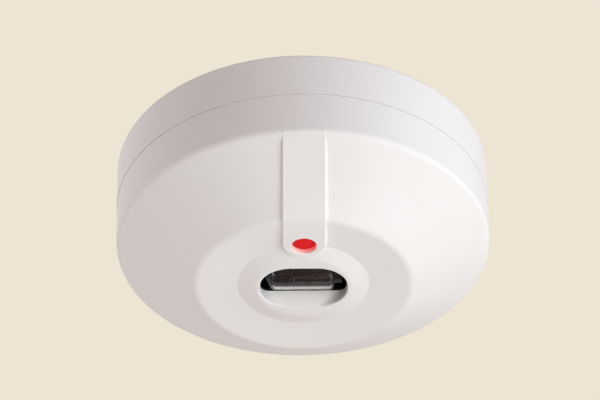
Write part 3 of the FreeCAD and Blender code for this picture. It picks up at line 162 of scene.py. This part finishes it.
def make_fine_grain():
    """Height of the fine texture that a mould's surface leaves, and a mask of faint patches."""
    group, given, result = new_group(
        "fine_grain",
        [("Grain Scale", "NodeSocketFloat", GRAIN_SCALE)],
        [("Height", "NodeSocketFloat"), ("Patches", "NodeSocketFloat")],
    )
    grain = cloud(group, given.outputs["Grain Scale"], 2.0, 0.55)
    slow = cloud(group, SLOW_SCALE, 2.0, 0.5)
    slow_height = number(group, "MULTIPLY", slow, SLOW_WAVE)
    group.links.new(number(group, "ADD", grain, slow_height), result.inputs["Height"])
    patches = cloud(group, PATCH_SCALE, 3.0, 0.55)
    group.links.new(spread(group, patches, 0.3, 0.7), result.inputs["Patches"])
    return group


def make_hollow_darkening():
    """Mask that is 1 in hollows found by ambient occlusion, broken up by a noise, which makes them
    darker.
    """
    group, given, result = new_group(
        "hollow_darkening",
        [("Reach", "NodeSocketFloat", HOLLOW_REACH)],
        [("Mask", "NodeSocketFloat")],
    )
    hollow = add_node(group, "ShaderNodeAmbientOcclusion", samples=8)
    group.links.new(given.outputs["Reach"], hollow.inputs["Distance"])
    deep = spread(group, hollow.outputs["AO"], HOLLOW_BEGINS, HOLLOW_FULL)
    broken = spread(group, cloud(group, HOLLOW_NOISE_SCALE, 3.0), 0.2, 0.8, 0.55, 1.0)
    group.links.new(number(group, "MULTIPLY", deep, broken), result.inputs["Mask"])
    return group


def make_brushed_lines():
    """Height of the drawn lines in wire and cut metal, along one axis."""
    group, given, result = new_group(
        "brushed_lines",
        [("Squeeze", "NodeSocketVector", LINES_ALONG_X)],
        [("Height", "NodeSocketFloat")],
    )
    place = add_node(group, "ShaderNodeTexCoord").outputs["Object"]
    squeezed = add_node(group, "ShaderNodeVectorMath", operation="MULTIPLY")
    group.links.new(place, squeezed.inputs[0])
    group.links.new(given.outputs["Squeeze"], squeezed.inputs[1])
    lines = cloud(group, LINE_SCALE, 4.0, 0.6, squeezed.outputs["Vector"])
    group.links.new(lines, result.inputs["Height"])
    return group


WORN_AND_HIGHLIT_EDGES = make_worn_and_highlit_edges()
FINE_GRAIN = make_fine_grain()
HOLLOW_DARKENING = make_hollow_darkening()
BRUSHED_LINES = make_brushed_lines()


def use_group(tree, group, **values):
    """Places a group in a material, with its own values."""
    node = add_node(tree, "ShaderNodeGroup", node_tree=group)
    for label, value in values.items():
        node.inputs[label.replace("_", " ")].default_value = value
    return node


def new_material(name):
    """An empty material with its shader and the tree to build in."""
    material = bpy.data.materials.new(name)
    material.use_nodes = True
    tree = material.node_tree
    return material, tree, tree.nodes["Principled BSDF"]


def rough_bump(tree, shader, height, strength, distance):
    bump = add_node(tree, "ShaderNodeBump")
    bump.inputs["Strength"].default_value = strength
    bump.inputs["Distance"].default_value = distance
    tree.links.new(height, bump.inputs["Height"])
    tree.links.new(bump.outputs["Normal"], shader.inputs["Normal"])


# Materials

PLASTIC_IOR = 1.49
QUARTZ_IOR = 1.46

# How deep the grain, the drawn lines, the glass's waves, the tracks and the wire's turns are
GRAIN_DEPTH = 0.02 * MM
DRAWN_DEPTH = 0.01 * MM
LENS_GRAIN_DEPTH = 0.01 * MM
GLASS_WAVE_DEPTH = 0.02 * MM
TRACK_DEPTH = 0.03 * MM
TURN_DEPTH = 0.08 * MM

# Scales, in waves per metre
TARNISH_SCALE = 350.0
GLASS_TINT_SCALE = 120.0
GLASS_WAVE_SCALE = 220.0
LENS_GRAIN_SCALE = 1500.0
TRACK_SCALE = 160.0
TRACK_AREA_SCALE = 40.0
BOARD_PATCH_SCALE = 90.0
TURN_SCALE = 480.0

# Painted glow of the indicator's lens, given as emission: its colour as the camera sees it, its
# strength, and the painted bright spot in the lens's middle, which fades towards the lens's rim. All
# other rays meet a light that is WALL_GLOW times as strong, so that the hole's wall shows a painted
# red glow and the lens keeps its deep red.
GLOW_RED = colour(255, 4, 22)
LENS_GLOW = 0.45
GLOW_SPOT_RADIUS = 1.9 * MM
LENS_RADIUS = 3.2 * MM
RIM_SHARE = 0.35
WALL_GLOW = 2.7


def moulded_plastic(
    name,
    main,
    shade,
    edge,
    roughness,
    grain=GRAIN_SCALE,
    hollow_dark=0.0,
    hollow_colour=None,
    shine=0.5,
):
    """Moulded plastic with a fine grain, faint patches, paler edges that are part wear and part
    painted highlight, and darker hollows.
    """
    material, tree, shader = new_material(name)
    texture = use_group(tree, FINE_GRAIN, Grain_Scale=grain)
    edge_mark = use_group(tree, WORN_AND_HIGHLIT_EDGES)
    body = blend_colours(tree, texture.outputs["Patches"], main, shade)
    # Paler edges: part wear, part painted highlight along the edges
    paler = number(tree, "MULTIPLY", edge_mark.outputs["Mask"], 0.5)
    finished = blend_colours(tree, paler, body, edge)
    # Hollows that ambient occlusion finds are made darker, towards a brownish grey
    if hollow_dark:
        hollows = use_group(tree, HOLLOW_DARKENING)
        finished = blend_colours(
            tree, number(tree, "MULTIPLY", hollows.outputs["Mask"], hollow_dark), finished, hollow_colour
        )
    tree.links.new(finished, shader.inputs["Base Color"])
    gloss = spread(tree, texture.outputs["Patches"], 0.0, 1.0, roughness - 0.03, roughness + 0.04)
    tree.links.new(gloss, shader.inputs["Roughness"])
    rough_bump(tree, shader, texture.outputs["Height"], 0.35, GRAIN_DEPTH)
    shader.inputs["IOR"].default_value = PLASTIC_IOR
    shader.inputs["Specular IOR Level"].default_value = shine
    return material


def plated_metal(name, main, tarnish, roughness, squeeze=LINES_ALONG_X):
    """Drawn or plated metal with fine lines, dull patches and brighter edges."""
    material, tree, shader = new_material(name)
    lines = use_group(tree, BRUSHED_LINES, Squeeze=squeeze)
    patches = spread(tree, cloud(tree, TARNISH_SCALE, 3.0, 0.6), 0.35, 0.75)
    edge_mark = use_group(tree, WORN_AND_HIGHLIT_EDGES, Reach=METAL_EDGE_REACH)
    dull = number(tree, "SUBTRACT", patches, edge_mark.outputs["Mask"], clamp=True)
    tree.links.new(blend_colours(tree, dull, main, tarnish), shader.inputs["Base Color"])
    shader.inputs["Metallic"].default_value = 1.0
    tree.links.new(
        spread(tree, patches, 0.0, 1.0, roughness, roughness + 0.18), shader.inputs["Roughness"]
    )
    rough_bump(tree, shader, lines.outputs["Height"], 0.25, DRAWN_DEPTH)
    return material


def clear_glass(name, tint, roughness):
    """Drawn glass with faint waves, a little deeper in colour in places."""
    material, tree, shader = new_material(name)
    deeper = tuple(0.96 * part for part in tint)
    places = spread(tree, cloud(tree, GLASS_TINT_SCALE, 2.0), 0.3, 0.7)
    body = blend_colours(tree, places, tint, deeper)
    tree.links.new(body, shader.inputs["Base Color"])
    shader.inputs["Transmission Weight"].default_value = 1.0
    shader.inputs["IOR"].default_value = QUARTZ_IOR
    shader.inputs["Specular IOR Level"].default_value = 0.2
    shader.inputs["Roughness"].default_value = roughness
    rough_bump(tree, shader, cloud(tree, GLASS_WAVE_SCALE, 1.0), 0.04, GLASS_WAVE_DEPTH)
    return material


def box_middle(node):
    """Middle of a node's box, in the node's own metres."""
    corners = [Vector(corner) for corner in node.bound_box]
    return sum(corners, Vector()) / len(corners)


def red_lens_painted_glow(name, middle):
    """Red lens whose emission is a painted glow, brightest at its middle, that makes the wall of its
    hole glow red; its rim is painted darker.
    """
    material, tree, shader = new_material(name)
    texture = use_group(tree, FINE_GRAIN, Grain_Scale=LENS_GRAIN_SCALE)
    deep = blend_colours(tree, texture.outputs["Patches"], colour(140, 2, 14), colour(128, 2, 12))
    # Painted shade: the lens's base colour turns a darker red towards its rim, and its glow fades
    # there
    facing = add_node(tree, "ShaderNodeLayerWeight")
    facing.inputs["Blend"].default_value = 0.35
    painted_rim_shade = spread(tree, facing.outputs["Facing"], 0.3, 0.95)
    tree.links.new(blend_colours(tree, painted_rim_shade, deep, colour(90, 0, 8)), shader.inputs["Base Color"])
    # Painted glow: emission brightest at the lens's middle, fading towards its rim
    place = add_node(tree, "ShaderNodeTexCoord").outputs["Object"]
    flat = add_node(tree, "ShaderNodeVectorMath", operation="MULTIPLY")
    tree.links.new(place, flat.inputs[0])
    flat.inputs[1].default_value = (1.0, 1.0, 0.0)
    away = add_node(tree, "ShaderNodeVectorMath", operation="DISTANCE")
    tree.links.new(flat.outputs["Vector"], away.inputs[0])
    away.inputs[1].default_value = (middle.x, middle.y, 0.0)
    glow_spot = spread(tree, away.outputs["Value"], GLOW_SPOT_RADIUS, LENS_RADIUS, 1.0, RIM_SHARE)
    share = number(tree, "MULTIPLY", glow_spot, spread(tree, painted_rim_shade, 0.0, 1.0, 1.0, 0.2))
    seen = blend_colours(tree, share, BLACK, GLOW_RED)
    cast = (*(WALL_GLOW * part for part in GLOW_RED[:3]), 1.0)
    # Painted glow: rays other than the camera's meet a stronger red emission, which lights the hole's
    # wall
    rays = add_node(tree, "ShaderNodeLightPath")
    glow = blend_colours(tree, rays.outputs["Is Camera Ray"], cast, seen)
    tree.links.new(glow, shader.inputs["Emission Color"])
    shader.inputs["Emission Strength"].default_value = LENS_GLOW
    shader.inputs["Roughness"].default_value = 0.2
    shader.inputs["Specular IOR Level"].default_value = 0.15
    shader.inputs["IOR"].default_value = PLASTIC_IOR
    rough_bump(tree, shader, texture.outputs["Height"], 0.1, LENS_GRAIN_DEPTH)
    return material


def board_laminate(name):
    """Green solder mask with copper tracks that show through as paler lines."""
    material, tree, shader = new_material(name)
    place = add_node(tree, "ShaderNodeTexCoord").outputs["Object"]
    tracks = add_node(tree, "ShaderNodeTexBrick")
    tree.links.new(place, tracks.inputs["Vector"])
    tracks.inputs["Scale"].default_value = TRACK_SCALE
    tracks.inputs["Mortar Size"].default_value = 0.035
    tracks.inputs["Color1"].default_value = BLACK
    tracks.inputs["Color2"].default_value = BLACK
    tracks.inputs["Mortar"].default_value = WHITE
    patches = spread(tree, cloud(tree, BOARD_PATCH_SCALE, 3.0), 0.35, 0.65)
    mask = blend_colours(tree, patches, colour(14, 78, 40), colour(18, 92, 46))
    areas = spread(tree, cloud(tree, TRACK_AREA_SCALE), 0.45, 0.55)
    copper = number(tree, "MULTIPLY", tracks.outputs["Color"], areas)
    tree.links.new(blend_colours(tree, copper, mask, colour(60, 128, 62)), shader.inputs["Base Color"])
    shader.inputs["Roughness"].default_value = 0.34
    shader.inputs["Coat Weight"].default_value = 0.3
    rough_bump(tree, shader, copper, 0.4, TRACK_DEPTH)
    return material


def wound_wire(name):
    """Enamelled wire under clear tape, wound round the upright limb."""
    material, tree, shader = new_material(name)
    place = add_node(tree, "ShaderNodeTexCoord").outputs["Object"]
    turns = add_node(tree, "ShaderNodeTexWave", wave_type="BANDS", bands_direction="Z")
    tree.links.new(place, turns.inputs["Vector"])
    turns.inputs["Scale"].default_value = TURN_SCALE
    turns.inputs["Distortion"].default_value = 0.6
    tree.links.new(
        blend_colours(tree, turns.outputs["Fac"], colour(84, 36, 12), colour(196, 112, 44)),
        shader.inputs["Base Color"],
    )
    shader.inputs["Metallic"].default_value = 0.6
    shader.inputs["Roughness"].default_value = 0.3
    shader.inputs["Coat Weight"].default_value = 0.6
    rough_bump(tree, shader, turns.outputs["Fac"], 0.6, TURN_DEPTH)
    return material


HOUSING = moulded_plastic(
    "housing_plastic",
    colour(229, 228, 228),
    colour(226, 224, 223),
    colour(238, 238, 238),
    0.6,
    hollow_dark=0.35,
    hollow_colour=colour(176, 164, 150),
)
# Painted shade: the holder is black with little shine, standing in for the shade inside the window
HOLDER = moulded_plastic(
    "holder_plastic", colour(24, 23, 24), colour(18, 18, 20), colour(44, 44, 46), 0.6, shine=0.1
)
NYLON = moulded_plastic(
    "sleeve_nylon", colour(226, 220, 204), colour(216, 208, 190), colour(236, 232, 220), 0.4
)
TERMINAL = moulded_plastic(
    "terminal_plastic", colour(24, 108, 58), colour(18, 92, 48), colour(70, 150, 98), 0.42
)
RELAY = moulded_plastic(
    "relay_plastic", colour(22, 48, 108), colour(18, 40, 94), colour(70, 96, 150), 0.3
)
FILM = moulded_plastic(
    "film_plastic", colour(150, 42, 30), colour(132, 34, 24), colour(190, 96, 80), 0.28
)
CHIP = moulded_plastic(
    "chip_resin", colour(32, 32, 34), colour(26, 26, 28), colour(64, 64, 66), 0.55
)
CERAMIC = moulded_plastic(
    "resistor_ceramic", colour(38, 38, 41), colour(30, 30, 33), colour(210, 208, 202), 0.35
)
HEADER = moulded_plastic(
    "header_plastic", colour(28, 28, 30), colour(22, 22, 24), colour(60, 60, 62), 0.45
)
JUMPER = moulded_plastic(
    "jumper_plastic", colour(30, 30, 33), colour(24, 24, 27), colour(66, 66, 70), 0.3
)
ABSORBER = moulded_plastic(
    "absorber_resin", colour(24, 74, 150), colour(20, 64, 134), colour(84, 130, 190), 0.22
)
SLEEVE = moulded_plastic(
    "can_sleeve", colour(24, 26, 48), colour(20, 22, 40), colour(74, 78, 104), 0.26
)
FERRITE = moulded_plastic(
    "ferrite", colour(52, 52, 54), colour(42, 42, 44), colour(92, 92, 94), 0.62, grain=1400.0
)
LAMP = moulded_plastic(
    "lamp_epoxy", colour(180, 24, 22), colour(168, 18, 18), colour(206, 70, 64), 0.24
)
# Painted shade: the cathode's nickel and its tarnish are near black, darker than the metal, standing
# in for the shade inside the tube
PLATE = plated_metal("cathode_nickel", colour(39, 34, 34), colour(22, 20, 20), 0.4)
LOOP = plated_metal("anode_nickel", colour(124, 116, 112), colour(74, 68, 66), 0.3)
WIRE = plated_metal("tinned_wire", colour(198, 194, 188), colour(150, 146, 138), 0.26)
ZINC = plated_metal("zinc_plate", colour(206, 208, 212), colour(160, 162, 168), 0.24, LINES_ALONG_Z)
BRASS = plated_metal("clamp_brass", colour(212, 196, 150), colour(160, 140, 92), 0.3)
GOLD = plated_metal("pin_gold", colour(224, 190, 110), colour(178, 142, 70), 0.22, LINES_ALONG_Z)
TUBE = clear_glass("tube_quartz", colour(222, 222, 226), 0.01)
# Painted shade: the stem's glass is tinted nearly black, standing in for the shade round the tube's
# end
STEM = clear_glass("stem_glass", colour(44, 42, 42), 0.12)
LENS = red_lens_painted_glow("lens_red", box_middle(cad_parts["indicator_lens"]))
BOARD = board_laminate("board_laminate")
WINDING = wound_wire("wound_wire")

FINISHES = {
    "mounting_base": HOUSING,
    "main_cover": HOUSING,
    "main_board": BOARD,
    "board_screws": ZINC,
    "tube_holder": HOLDER,
    "holder_screws": ZINC,
    "tube_glass": TUBE,
    "tube_stem": STEM,
    "tube_leads": WIRE,
    "tube_cathode": PLATE,
    "tube_anode": LOOP,
    "indicator_lens": LENS,
    "indicator_lamp": LAMP,
    "lamp_legs": WIRE,
    "lamp_sleeve": NYLON,
    "terminal_block": TERMINAL,
    "terminal_screws": ZINC,
    "terminal_clamps": BRASS,
    "alarm_relay": RELAY,
    "film_capacitor": FILM,
    "converter_core": FERRITE,
    "converter_winding": WINDING,
    "electrolytic_capacitors": SLEEVE,
    "controller_chip": CHIP,
    "chip_legs": WIRE,
    "chip_resistors": CERAMIC,
    "surge_absorber": ABSORBER,
    "jumper_header": HEADER,
    "jumper_cap": JUMPER,
    "jumper_pins": GOLD,
}

for node_name, finish in FINISHES.items():
    for material_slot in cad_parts[node_name].material_slots:
        material_slot.link = "OBJECT"
        material_slot.material = finish


# Floor, lamps and camera

FLOOR_LEVEL = -2.0
FLOOR_SIDE = 16.0
BACKGROUND = colour(238, 228, 212)
AMBIENT = 0.308
WARM_LIGHT = (1.0, 0.78, 0.79)
COOL_LIGHT = (0.93, 0.99, 1.0)
BLUE_LIGHT = (0.88, 1.0, 1.16)
LAMP_SIDE = 1.2

# Each lamp's name, place in metres, power in watts and tint
LAMPS = (
    ("right_front_lamp", (0.65, -0.5, -0.6), 12.9, COOL_LIGHT),
    ("right_high_lamp", (0.9, -0.2, 0.3), 2.6, BLUE_LIGHT),
    ("left_high_lamp", (-1.0, 0.1, 0.3), 6.0, COOL_LIGHT),
    ("left_back_lamp", (-0.65, 0.55, -0.55), 2.3, COOL_LIGHT),
    ("back_lamp", (0.0, 0.75, -0.7), 1.9, COOL_LIGHT),
)


def make_floor():
    """A pale floor far below the detector."""
    mesh = bpy.data.meshes.new("studio_floor")
    half = FLOOR_SIDE / 2
    outline = ((-half, -half), (half, -half), (half, half), (-half, half))
    corners = [(x, y, FLOOR_LEVEL) for x, y in outline]
    mesh.from_pydata(corners, [], [(0, 1, 2, 3)])
    floor = bpy.data.objects.new("studio_floor", mesh)
    bpy.context.scene.collection.objects.link(floor)
    material, _, shader = new_material("studio_floor")
    shader.inputs["Base Color"].default_value = BACKGROUND
    shader.inputs["Roughness"].default_value = 0.9
    mesh.materials.append(material)


def make_world():
    """Even light from all round, and the pale background that the camera sees."""
    world = bpy.data.worlds.new("studio")
    bpy.context.scene.world = world
    world.use_nodes = True
    tree = world.node_tree
    tree.nodes.clear()
    rays = add_node(tree, "ShaderNodeLightPath")
    seen = number(tree, "MAXIMUM", rays.outputs["Is Camera Ray"], rays.outputs["Is Transmission Ray"])
    seen = number(tree, "MAXIMUM", seen, rays.outputs["Is Glossy Ray"])
    soft = add_node(tree, "ShaderNodeBackground")
    soft.inputs["Color"].default_value = (*WARM_LIGHT, 1.0)
    soft.inputs["Strength"].default_value = AMBIENT
    backdrop = add_node(tree, "ShaderNodeBackground")
    backdrop.inputs["Color"].default_value = BACKGROUND
    backdrop.inputs["Strength"].default_value = 1.0
    mixed = add_node(tree, "ShaderNodeMixShader")
    tree.links.new(seen, mixed.inputs["Fac"])
    tree.links.new(soft.outputs["Background"], mixed.inputs[1])
    tree.links.new(backdrop.outputs["Background"], mixed.inputs[2])
    output = add_node(tree, "ShaderNodeOutputWorld")
    tree.links.new(mixed.outputs["Shader"], output.inputs["Surface"])


def make_lamp(name, place, power, tint):
    """A square soft lamp that faces the detector."""
    light = bpy.data.lights.new(name, "AREA")
    light.shape = "SQUARE"
    light.size = LAMP_SIDE
    light.energy = power
    light.color = tint
    lamp = bpy.data.objects.new(name, light)
    spot = Vector(place)
    lamp.location = spot
    lamp.rotation_mode = "QUATERNION"
    lamp.rotation_quaternion = (AIM - spot).to_track_quat("-Z", "Y")
    bpy.context.scene.collection.objects.link(lamp)


def make_camera():
    """The photograph's camera, which looks up at the detector from the front."""
    data = bpy.data.cameras.new("camera")
    data.sensor_width = SENSOR_WIDTH
    focal_pixels = PIXELS_PER_MM * CAMERA_DISTANCE / MM
    data.lens = focal_pixels * SENSOR_WIDTH / PICTURE_WIDTH
    data.shift_x = (PICTURE_WIDTH / 2 - AIM_ACROSS) / PICTURE_WIDTH
    data.shift_y = (AIM_DOWN - PICTURE_HEIGHT / 2) / PICTURE_WIDTH
    data.clip_start = 0.01
    data.clip_end = 50.0
    camera = bpy.data.objects.new("camera", data)
    ahead = Vector((-math.sin(TURN), math.cos(TURN), 0.0))
    level_right = Vector((math.cos(TURN), math.sin(TURN), 0.0))
    view = ahead * math.cos(LOOK_UP) + Vector((0, 0, math.sin(LOOK_UP)))
    level_up = Vector((0, 0, math.cos(LOOK_UP))) - ahead * math.sin(LOOK_UP)
    right = level_right * math.cos(ROLL) - level_up * math.sin(ROLL)
    up = level_right * math.sin(ROLL) + level_up * math.cos(ROLL)
    turned = Matrix((right, up, -view)).transposed().to_4x4()
    camera.matrix_world = Matrix.Translation(AIM - view * CAMERA_DISTANCE) @ turned
    bpy.context.scene.collection.objects.link(camera)
    bpy.context.scene.camera = camera


make_floor()
make_world()
for lamp_name, lamp_place, lamp_power, lamp_tint in LAMPS:
    make_lamp(lamp_name, lamp_place, lamp_power, lamp_tint)
make_camera()

bpy.context.scene.view_settings.view_transform = "Standard"
